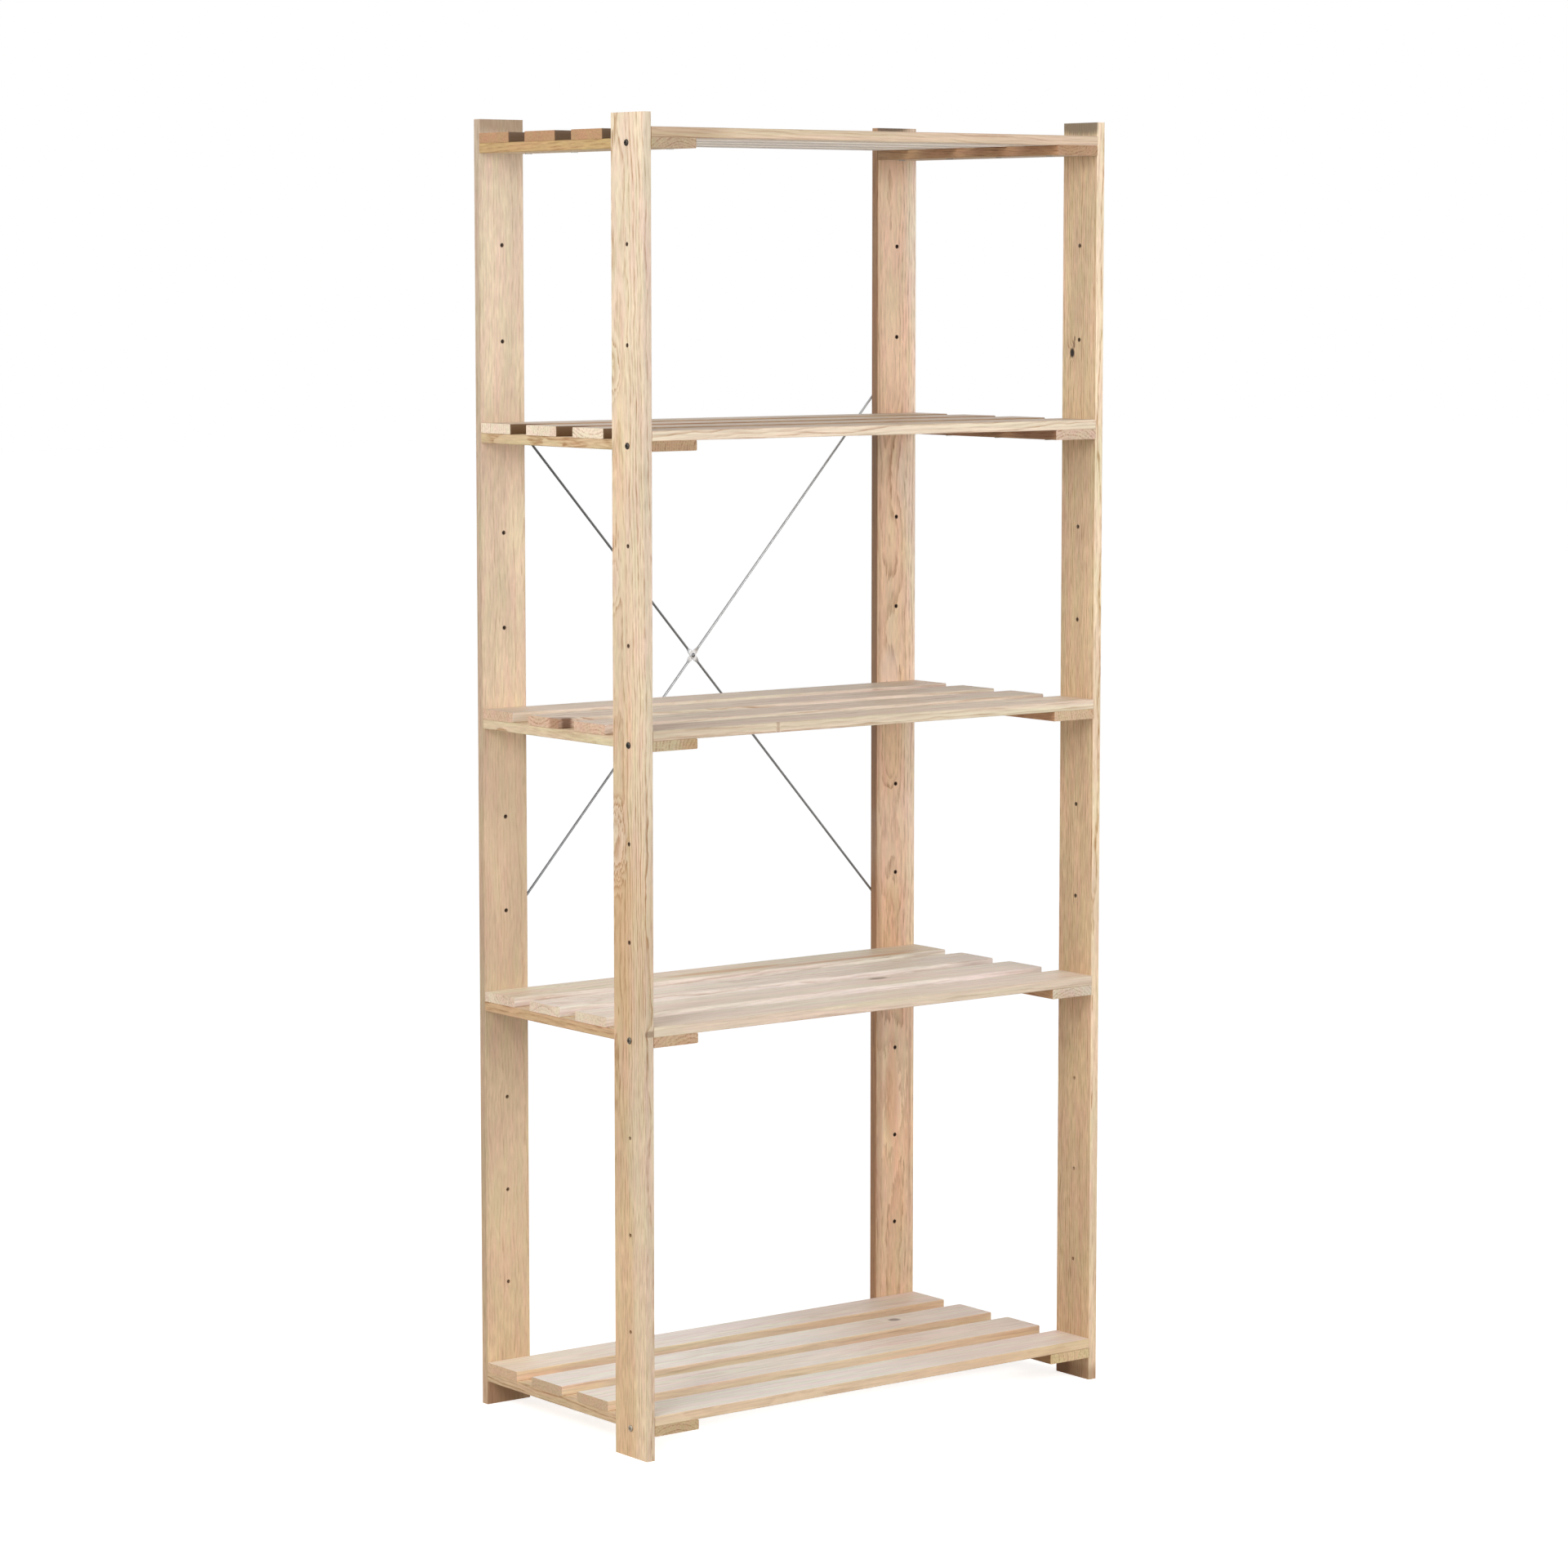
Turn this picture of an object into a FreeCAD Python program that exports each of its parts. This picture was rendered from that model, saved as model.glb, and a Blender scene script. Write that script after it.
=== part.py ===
import FreeCAD, Part
import math
import os

# Slatted softwood shelving unit: four drilled uprights, five stapled shelves and a steel cross brace.
# Millimetres. X runs along the shelves, Y to the back and Z up, from the footprint's middle on the floor.

# Uprights
upright_width = 69.0
upright_thickness = 13.0
hole_pitch = 125.0
hole_foot = 37.5            # floor to the lowest hole
hole_head = 37.5            # highest hole to the top of the board

# Shelves
bay_holes = (4, 3, 3, 3)    # height of each storage bay in holes, from the floor up
slat_length = 730.0
slat_width = 69.0
slat_thickness = 13.0
slat_gap = 35.0
slat_count = 4
batten_width = 69.0
batten_thickness = 13.0
arris = 1.0                 # eased edge along the grain of every board

# Small fasteners have few sides, which keeps the model light
shank_sides = 6
head_sides = 8
tip_radius = 0.4

# Shelf screws, through an upright into a batten
screw_diameter = 4.5
screw_rim = 2.0             # head's edge beyond the shank
screw_head = 2.2
screw_bevel = 1.2
screw_reach = 27.0          # shank and tip inside the batten
screw_tip = 4.0
hole_clearance = 0.25       # round the shank in the upright
thread_clearance = 0.05     # round the shank in the batten
pilot_spare = 1.0           # pilot hole beyond the tip

# Staples, driven up through a batten into a slat
staple_crown = 10.0
staple_wire = 1.2
staple_edge = 15.0          # inner side of the batten to the middle of the crown
staple_cover = 4.0          # wood left over the staple's tips
staple_clearance = 0.05

# Cross brace on the back of the unit
rod_diameter = 3.2
brace_inset_left = 20.0     # outer edge of the left upright to the eyes
brace_inset_right = 45.0    # outer edge of the right upright to the eyes
brace_low_rise = 77.0       # second shelf's holes up to the lower eyes
brace_high_rise = 67.0      # fourth shelf's holes up to the upper eyes
eye_diameter = 9.0
flat_width = 7.0
flat_length = 14.0
press_taper = 6.0           # length over which the round rod turns into a flat
rivet_diameter = 3.0
rivet_rim = 1.5
rivet_head = 1.2
rivet_bevel = 0.8
rivet_clearance = 0.05

# Brace screws, through an eye into a back upright
eye_screw_diameter = 3.0
eye_screw_rim = 2.0
eye_screw_head = 2.0
eye_screw_bevel = 1.0
eye_screw_tip = 2.5
eye_screw_cover = 2.6       # wood left in front of the bore
eye_clearance = 0.1

# Sizes that follow
shelf_depth = slat_count * slat_width + (slat_count - 1) * slat_gap
hole_heights = [hole_foot + k * hole_pitch for k in range(sum(bay_holes) + 1)]
shelf_heights = [hole_heights[sum(bay_holes[:k])] for k in range(len(bay_holes) + 1)]
unit_height = hole_heights[-1] + hole_head
unit_depth = shelf_depth + upright_thickness
side_x = slat_length / 2                # slat ends, and inner faces of the front uprights
front_y = -unit_depth / 2               # front edges of the slats and the front uprights
seat_y = front_y + shelf_depth          # front faces of the back uprights
rear_y = unit_depth / 2                 # back faces of the back uprights
rod_radius = rod_diameter / 2
slat_middles = [front_y + slat_width / 2 + k * (slat_width + slat_gap) for k in range(slat_count)]

x_axis = FreeCAD.Vector(1, 0, 0)
y_axis = FreeCAD.Vector(0, 1, 0)
z_axis = FreeCAD.Vector(0, 0, 1)
sides = {"left": -1, "right": 1}


def board(low, high, grain):
    # Planed board between two corners, with its four arrises along the grain eased.
    size = high.sub(low)
    blank = Part.makeBox(size.x, size.y, size.z, low)
    arrises = [e for e in blank.Edges if abs(e.tangentAt(e.FirstParameter).dot(grain)) > 0.5]
    return blank.makeChamfer(arris, arrises)


def outline_face(corners):
    return Part.Face(Part.makePolygon(corners + corners[:1]))


def stretch(side_count, start, end):
    # Faceted bar or cone between two ends, each given as radius and distance along the axis.
    turns = [2 * math.pi * k / side_count for k in range(side_count)]
    first, last = [
        [FreeCAD.Vector(radius * math.cos(a), radius * math.sin(a), along) for a in turns]
        for radius, along in (start, end)
    ]
    flanks = [[first[k - 1], first[k], last[k], last[k - 1]] for k in range(side_count)]
    shell = Part.makeShell([outline_face(corners) for corners in [first, last] + flanks])
    return Part.makeSolid(shell)


def laid(stretches, point, direction):
    # Joins stretches into one solid and lays its axis along a direction from a point.
    solid = stretches[0].fuse(stretches[1:]).removeSplitter() if stretches[1:] else stretches[0]
    solid.Placement = FreeCAD.Placement(point, FreeCAD.Rotation(z_axis, direction))
    return solid


def screw(diameter, rim, head, bevel, length, tip):
    # Stretches of a pan head wood screw whose head bears at distance zero.
    shank = diameter / 2
    return [
        stretch(head_sides, (shank + rim - bevel, -head), (shank + rim, 0)),
        stretch(shank_sides, (shank, 0), (shank, length - tip)),
        stretch(shank_sides, (shank, length - tip), (tip_radius, length)),
    ]


def screw_rows():
    # Foot of the screw row on each upright's outer face, and the way the screws point.
    rows = {}
    for side, sign in sides.items():
        middle_x = sign * (side_x - upright_width / 2)
        outer_x = sign * (side_x + upright_thickness)
        rows["front_" + side] = (FreeCAD.Vector(outer_x, front_y + upright_width / 2, 0), x_axis * -sign)
        rows["back_" + side] = (FreeCAD.Vector(middle_x, rear_y, 0), y_axis * -1)
    return rows


def shelf_screw(point, inward):
    length = upright_thickness + screw_reach
    return laid(screw(screw_diameter, screw_rim, screw_head, screw_bevel, length, screw_tip), point, inward)


def shelf_bore(point, inward):
    # Bore for one shelf screw, loose in the upright and tight in the batten.
    loose = screw_diameter / 2 + hole_clearance
    tight = screw_diameter / 2 + thread_clearance
    depth = upright_thickness + screw_reach + pilot_spare
    stretches = [
        stretch(shank_sides, (loose, 0), (loose, upright_thickness)),
        stretch(shank_sides, (tight, upright_thickness), (tight, depth)),
    ]
    return laid(stretches, point, inward)


def upright(place, row, inward):
    # Drilled upright. Front ones stand sideways outside the shelves, back ones stand behind them.
    end, side = place.split("_")
    across = y_axis if end == "front" else x_axis
    reach = across * (upright_width / 2)
    corner = row.sub(reach)
    opposite = row.add(reach).add(inward * upright_thickness).add(z_axis * unit_height)
    low = FreeCAD.Vector(min(corner.x, opposite.x), min(corner.y, opposite.y), 0)
    high = FreeCAD.Vector(max(corner.x, opposite.x), max(corner.y, opposite.y), unit_height)
    cuts = [shelf_bore(row + z_axis * z, inward) for z in shelf_heights]
    free_heights = [z for z in hole_heights if z not in shelf_heights]
    radius = screw_diameter / 2 + hole_clearance
    cuts += [Part.makeCylinder(radius, upright_thickness, row + z_axis * z, inward) for z in free_heights]
    if end == "back":
        cuts += [eye_bore(eye_x[side], z) for z in eye_heights]
    return board(low, high, z_axis).cut(cuts)


def staple(x, y, underside, grow=0.0):
    # U of wire across the batten, its crown under the batten. Grown a little, it cuts its own seat.
    outer = staple_crown / 2 + grow
    inner = staple_crown / 2 - staple_wire - grow
    bottom = underside - staple_wire
    top = underside + batten_thickness + slat_thickness - staple_cover + grow
    outline = [(-outer, bottom), (outer, bottom), (outer, top), (inner, top), (inner, underside)]
    outline += [(-inner, underside), (-inner, top), (-outer, top)]
    depth = staple_wire + 2 * grow
    side = outline_face([FreeCAD.Vector(x + dx, y - depth / 2, z) for dx, z in outline])
    return side.extrude(y_axis * depth)


def shelf(height, rows):
    # Battens centred on the screw holes, slats across them, and the staples that hold the slats from below.
    underside = height - batten_thickness / 2
    seat = height + batten_thickness / 2
    staple_x = {side: sign * (side_x - batten_width + staple_edge) for side, sign in sides.items()}
    pieces = {}
    for side, sign in sides.items():
        ends_x = sorted((sign * side_x, sign * (side_x - batten_width)))
        low = FreeCAD.Vector(ends_x[0], front_y, underside)
        high = FreeCAD.Vector(ends_x[1], seat_y, seat)
        cuts = [staple(staple_x[side], y, underside, staple_clearance) for y in slat_middles]
        for end in ("front_", "back_"):
            row, inward = rows[end + side]
            cuts.append(shelf_bore(row + z_axis * height, inward))
        pieces["batten_" + side] = board(low, high, y_axis).cut(cuts)
    for number, middle in enumerate(slat_middles, 1):
        low = FreeCAD.Vector(-side_x, middle - slat_width / 2, seat)
        high = FreeCAD.Vector(side_x, middle + slat_width / 2, seat + slat_thickness)
        cuts = [staple(x, middle, underside, staple_clearance) for x in staple_x.values()]
        pieces["slat_%d" % number] = board(low, high, x_axis).cut(cuts)
    staples = [staple(x, y, underside) for x in staple_x.values() for y in slat_middles]
    pieces["staples"] = Part.makeCompound(staples)
    return pieces


def pressed(plan, profile):
    # Stretch of rod pressed flat, from its outlines seen from above and from the side.
    depth = 2 * eye_diameter
    above = outline_face([FreeCAD.Vector(s, y, -depth / 2) for s, y in plan]).extrude(z_axis * depth)
    beside = outline_face([FreeCAD.Vector(s, -depth / 2, z) for s, z in profile]).extrude(y_axis * depth)
    return above.common(beside)


def brace_rod(start, end, layer):
    # Round rod, flat at its eyes and its middle. The layer is the half of its thickness that the middle keeps.
    half = start.distanceToPoint(end) / 2
    neck = rod_radius / math.sqrt(2)
    flat_half = flat_length / 2
    flat_end = flat_half + press_taper
    tongue_end = half - eye_diameter / 2
    tongue_start = tongue_end - press_taper
    low, high = sorted((0, layer * rod_radius))
    plan = [(-flat_end, neck), (-flat_half, flat_width / 2), (flat_half, flat_width / 2), (flat_end, neck)]
    plan += [(s, -y) for s, y in reversed(plan)]
    profile = [(-flat_end, neck), (-flat_half, high), (flat_half, high), (flat_end, neck)]
    profile += [(flat_end, -neck), (flat_half, low), (-flat_half, low), (-flat_end, -neck)]
    stretches = [pressed(plan, profile)]
    plan = [(tongue_start, neck), (tongue_end, eye_diameter / 2), (half, eye_diameter / 2)]
    plan += [(s, -y) for s, y in reversed(plan)]
    profile = [(tongue_start, neck), (tongue_end, 0), (half, 0)]
    profile += [(half, -rod_radius), (tongue_end, -rod_radius), (tongue_start, -neck)]
    for sign in (-1, 1):
        bar_start = FreeCAD.Vector(sign * flat_end, 0, 0)
        stretches.append(Part.makeCylinder(rod_radius, tongue_start - flat_end, bar_start, x_axis * sign))
        stretches.append(pressed([(sign * s, y) for s, y in plan], [(sign * s, z) for s, z in profile]))
        eye_foot = FreeCAD.Vector(sign * half, 0, -rod_radius)
        stretches.append(Part.makeCylinder(eye_diameter / 2, rod_radius, eye_foot))
    rod = stretches[0].fuse(stretches[1:]).removeSplitter()
    along = end.sub(start).normalize()
    rod.Placement = FreeCAD.Placement(
        start.add(end) * 0.5, FreeCAD.Rotation(along, y_axis.cross(along), y_axis, "XYZ")
    )
    cuts = [rivet_bore(), eye_bore(start.x, start.z), eye_bore(end.x, end.z)]
    return rod.cut(cuts)


def brace_rivet():
    shank = rivet_diameter / 2
    rim = shank + rivet_rim
    crown = rim - rivet_bevel
    stretches = [
        stretch(head_sides, (crown, -rod_radius - rivet_head), (rim, -rod_radius)),
        stretch(shank_sides, (shank, -rod_radius), (shank, rod_radius)),
        stretch(head_sides, (rim, rod_radius), (crown, rod_radius + rivet_head)),
    ]
    return laid(stretches, crossing, y_axis)


def rivet_bore():
    radius = rivet_diameter / 2 + rivet_clearance
    return laid([stretch(shank_sides, (radius, -rod_diameter), (radius, rod_diameter))], crossing, y_axis)


def eye_screw(x, z):
    # Pan head screw that clamps an eye against the upright.
    length = rod_radius + upright_thickness - eye_screw_cover - pilot_spare
    head = (eye_screw_diameter, eye_screw_rim, eye_screw_head, eye_screw_bevel)
    stretches = screw(*head, length, eye_screw_tip)
    return laid(stretches, FreeCAD.Vector(x, rear_y + rod_radius, z), y_axis * -1)


def eye_bore(x, z):
    radius = eye_screw_diameter / 2 + eye_clearance
    depth = rod_radius + upright_thickness - eye_screw_cover
    bore = stretch(shank_sides, (radius, 0), (radius, depth))
    return laid([bore], FreeCAD.Vector(x, rear_y + rod_radius, z), y_axis * -1)


# Places of the brace's eyes and of its crossing
eye_x = {"left": brace_inset_left - side_x, "right": side_x - brace_inset_right}
eye_heights = (shelf_heights[1] + brace_low_rise, shelf_heights[3] + brace_high_rise)
rod_y = rear_y + rod_radius
low_left, high_left = [FreeCAD.Vector(eye_x["left"], rod_y, z) for z in eye_heights]
low_right, high_right = [FreeCAD.Vector(eye_x["right"], rod_y, z) for z in eye_heights]
crossing = high_left.add(low_right) * 0.5

# Uprights and their screws
nodes = {}
rows = screw_rows()
for place, (row, inward) in rows.items():
    nodes["upright_" + place] = upright(place, row, inward)
    screws = [shelf_screw(row + z_axis * z, inward) for z in shelf_heights]
    nodes["shelf_screws_" + place] = Part.makeCompound(screws)

# Shelves, numbered from the floor up, with slats numbered from the front
for number, height in enumerate(shelf_heights, 1):
    for name, solid in shelf(height, rows).items():
        nodes["shelf_%d_%s" % (number, name)] = solid

# Cross brace
nodes["brace_rod_front"] = brace_rod(high_left, low_right, -1)
nodes["brace_rod_back"] = brace_rod(low_left, high_right, 1)
nodes["brace_rivet"] = brace_rivet()
nodes["brace_screws"] = Part.makeCompound([eye_screw(x, z) for x in eye_x.values() for z in eye_heights])

os.makedirs("parts", exist_ok=True)
for name, shape in nodes.items():
    shape.exportStep("parts/%s.step" % name)
boards_width = slat_length + 2 * upright_thickness
print("%d nodes, boards %g x %g x %g mm" % (len(nodes), boards_width, unit_depth, unit_height))
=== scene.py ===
import functools
import math
import bpy
import numpy as np
from mathutils import Matrix, Vector


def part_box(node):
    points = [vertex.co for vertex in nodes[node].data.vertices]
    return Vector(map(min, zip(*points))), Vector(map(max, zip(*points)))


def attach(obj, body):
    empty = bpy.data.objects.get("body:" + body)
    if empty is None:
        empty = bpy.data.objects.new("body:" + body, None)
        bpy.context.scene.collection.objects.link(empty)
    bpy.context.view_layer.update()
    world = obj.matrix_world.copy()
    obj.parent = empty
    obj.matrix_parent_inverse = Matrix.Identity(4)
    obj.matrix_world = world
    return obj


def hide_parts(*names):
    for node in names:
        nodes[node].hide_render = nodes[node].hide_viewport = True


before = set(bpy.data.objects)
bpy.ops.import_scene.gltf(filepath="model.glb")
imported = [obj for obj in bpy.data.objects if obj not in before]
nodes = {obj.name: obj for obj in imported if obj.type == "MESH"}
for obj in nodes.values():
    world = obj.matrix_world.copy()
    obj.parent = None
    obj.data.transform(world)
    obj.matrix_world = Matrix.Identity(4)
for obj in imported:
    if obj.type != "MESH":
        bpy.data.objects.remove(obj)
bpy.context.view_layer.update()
scene = bpy.context.scene
mm = 0.001
metreInMm = 1000
white = (1, 1, 1, 1)
print("frame:", len(nodes), "nodes")


def linearColour(code):
    # sRGB hex text to a linear colour with full alpha
    value = np.array([int(code[k:k + 2], 16) for k in (1, 3, 5)]) / 255
    linear = np.where(value <= 0.04045, value / 12.92, ((value + 0.055) / 1.055) ** 2.4)
    return (*linear.tolist(), 1.0)


def addNode(tree, kind, links=None, **settings):
    # one shader node, with its settings and what goes into its sockets: another node's output or a value
    node = tree.nodes.new("ShaderNode" + kind)
    for name, value in settings.items():
        setattr(node, name, value)
    for socket, value in (links or {}).items():
        if isinstance(value, bpy.types.NodeSocket):
            tree.links.new(value, node.inputs[socket])
        else:
            node.inputs[socket].default_value = value
    return node


def newMaterial(name):
    material = bpy.data.materials.new(name)
    material.use_nodes = True
    return material, material.node_tree, material.node_tree.nodes["Principled BSDF"]


def dress(piece, material):
    # the material goes into the object's own slot, so a CAD mesh stays as it came
    if not piece.material_slots:
        piece.data.materials.append(None)
    for slot in piece.material_slots:
        slot.link = "OBJECT"
        slot.material = material


# Camera: stands in front and to the left, a little below the top shelf, with a long lens
cameraView = {
    "eye": (-3.8335, -4.9952, 1.5098),
    "yaw": 0.65356,         # to the right of straight ahead, radians
    "pitch": -0.10837,      # down
    "lens": 109.18,
    "sensor": 36.0,
    "clipEnd": 100.0,
}


def makeCamera(view):
    data = bpy.data.cameras.new("camera")
    data.lens = view["lens"]
    data.sensor_width = view["sensor"]
    data.clip_end = view["clipEnd"]
    camera = bpy.data.objects.new("camera", data)
    camera.location = view["eye"]
    camera.rotation_euler = (math.pi / 2 + view["pitch"], 0.0, -view["yaw"])
    scene.collection.objects.link(camera)
    scene.camera = camera


makeCamera(cameraView)
print("camera placed")


# Pine boards. Each board is cut from its own stem: growth rings are distances from a pith line that runs
# beside the board, so faces, edges and ends show one figure.
mixA, mixB, mixOut = 6, 7, 2        # colour sockets of a Mix node

grainTurns = {
    # rows: the board's wide way, its thickness and its grain, in the frame's axes
    "uprightFront": Matrix(((0, 1, 0), (-1, 0, 0), (0, 0, 1))),
    "uprightBack": Matrix.Identity(3),
    "slat": Matrix(((0, 1, 0), (0, 0, 1), (1, 0, 0))),
    "batten": Matrix(((1, 0, 0), (0, 0, -1), (0, 1, 0))),
}

grainPatterns = {
    # size across and along the grain in mm, and detail
    "wander": {"across": 160, "along": 520, "detail": 1.0},     # the course of the pith
    "bend": {"across": 46, "along": 130, "detail": 2.0},        # slow waves of the rings
    "wobble": {"across": 10, "along": 34, "detail": 2.0},       # quick waves of the rings
    "fleck": {"across": 2.6, "along": 21, "detail": 3.0},       # ends of rings and resin canals
    "fibre": {"across": 1.5, "along": 14, "detail": 2.0},       # bundles of fibres, drawn coarser to show
    "strand": {"across": 0.4, "along": 9, "detail": 2.0},       # single strands, for a close look
    "hue": {"across": 12, "along": 90, "detail": 3.0},
    "tone": {"across": 34, "along": 180, "detail": 2.0},
}
grainShift = {"board": (17.3, 5.7), "pattern": 11.9}            # sets boards and patterns apart
grainSwings = {"pith": 7.0, "bend": 11.0, "wobble": 3.4}        # how far each moves the rings, mm
grainShades = {
    # how much each pattern lightens and darkens the wood
    "fleck": (0.06, -0.11), "fibre": (0.045, -0.055), "strand": (0.04, -0.06), "tone": (0.04, -0.05),
}
shadeLevels = (0.3, 0.7)            # levels of a pattern between which it goes from light to dark
hueTints = {"rose": "#fff4f1", "straw": "#fbfdf0", "levels": (0.34, 0.66)}

pineTones = {
    "honey": {"early": "#ecdbc5", "late": "#b48b61", "heart": "#e2c8a8"},
    "rose": {"early": "#decdba", "late": "#b08a6a", "heart": "#d5bba2"},
    "russet": {"early": "#f9ecde", "late": "#ac8161", "heart": "#edd2ba"},
    "straw": {"early": "#f4e7d2", "late": "#bd9667", "heart": "#e7cfae"},
    "pale": {"early": "#fdf5eb", "late": "#cfb096", "heart": "#f5e7d8"},
    "cream": {"early": "#fffbf8", "late": "#dccabb", "heart": "#fdf6f0"},
    "amber": {"early": "#f1dfc3", "late": "#ba8b59", "heart": "#e5c7a0"},
}

growthRing = {
    # share of latewood across one year's growth: at its ends, and at places between them
    "ends": 0.06,
    "stops": ((0.14, 0.0), (0.5, 0.22), (0.83, 0.95), (0.945, 0.9)),
    "faintest": 0.3,            # strength of the faintest year, the strongest being 1
    "breaks": (0.32, 0.68),     # levels of the flecks between which the latewood goes from
    "broken": (0.12, 1.33),     # nearly gone to full
}
heartwood = {"stray": 40.0, "rim": (8.0, 34.0)}     # how far its rim strays and where it fades out, mm

pineBoard = {
    "tone": "pale",
    "heartRadius": 38.0,
    "mottle": 1.0,              # strength of the slow changes of tone
    "stretch": 1.0,             # how much longer the flecks, fibres and hues run than on the uprights
    "start": "#ffffff",         # tint at the lower, left or front end, fading out to the other end
    "face": "#ffffff",          # tints of the wide faces, the front or left edge, the other edge and the ends
    "edge": "#ffffff",
    "farEdge": "#ffffff",
    "end": "#eadccb",
    "holePitch": 0.0,           # of the row of drilled holes in the middle, mm
    "holeDark": (0.0, 0.7),     # how dark the painted shade in the walls of the lower holes and of the others is
    "knots": (),
}
faceTurn = (0.75, 0.95)         # how squarely a side looks up or along to be a wide face or a sawn end

pineKnot = {
    # how far it moves the rings in mm, how much it deepens their latewood, and how dark it is itself
    "push": 0.0, "deepen": 0.0, "dark": 0.0, "colour": "#8a5a38",
    "ragged": 1.2,              # how uneven its rim is
    "only": 0,                  # 1 or -1 where it shows on one wide face alone
}
knotFades = {
    # where each of these starts to fade and ends, from the knot's middle, in half widths of the knot
    "push": (0.3, 3.5), "deepen": (0.8, 3.2), "dark": (0.7, 1.5),
}
holeWallShade = {
    # its wall is darker than the planed face: partly torn fibres, partly painted shade inside the hole
    "radius": 2.5, "rim": 0.8, "colour": "#4d3524",
    "lower": (0.27, 0.36),      # share of the height where the lower holes end and the others begin
}
planedFinish = {
    "roughness": (0.56, 0.44),  # of earlywood and of latewood
    "specular": 0.5,
    "fibres": -0.6,             # their relief against that of the latewood
    "bump": 0.3,
    "height": 0.25,             # mm
}


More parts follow.
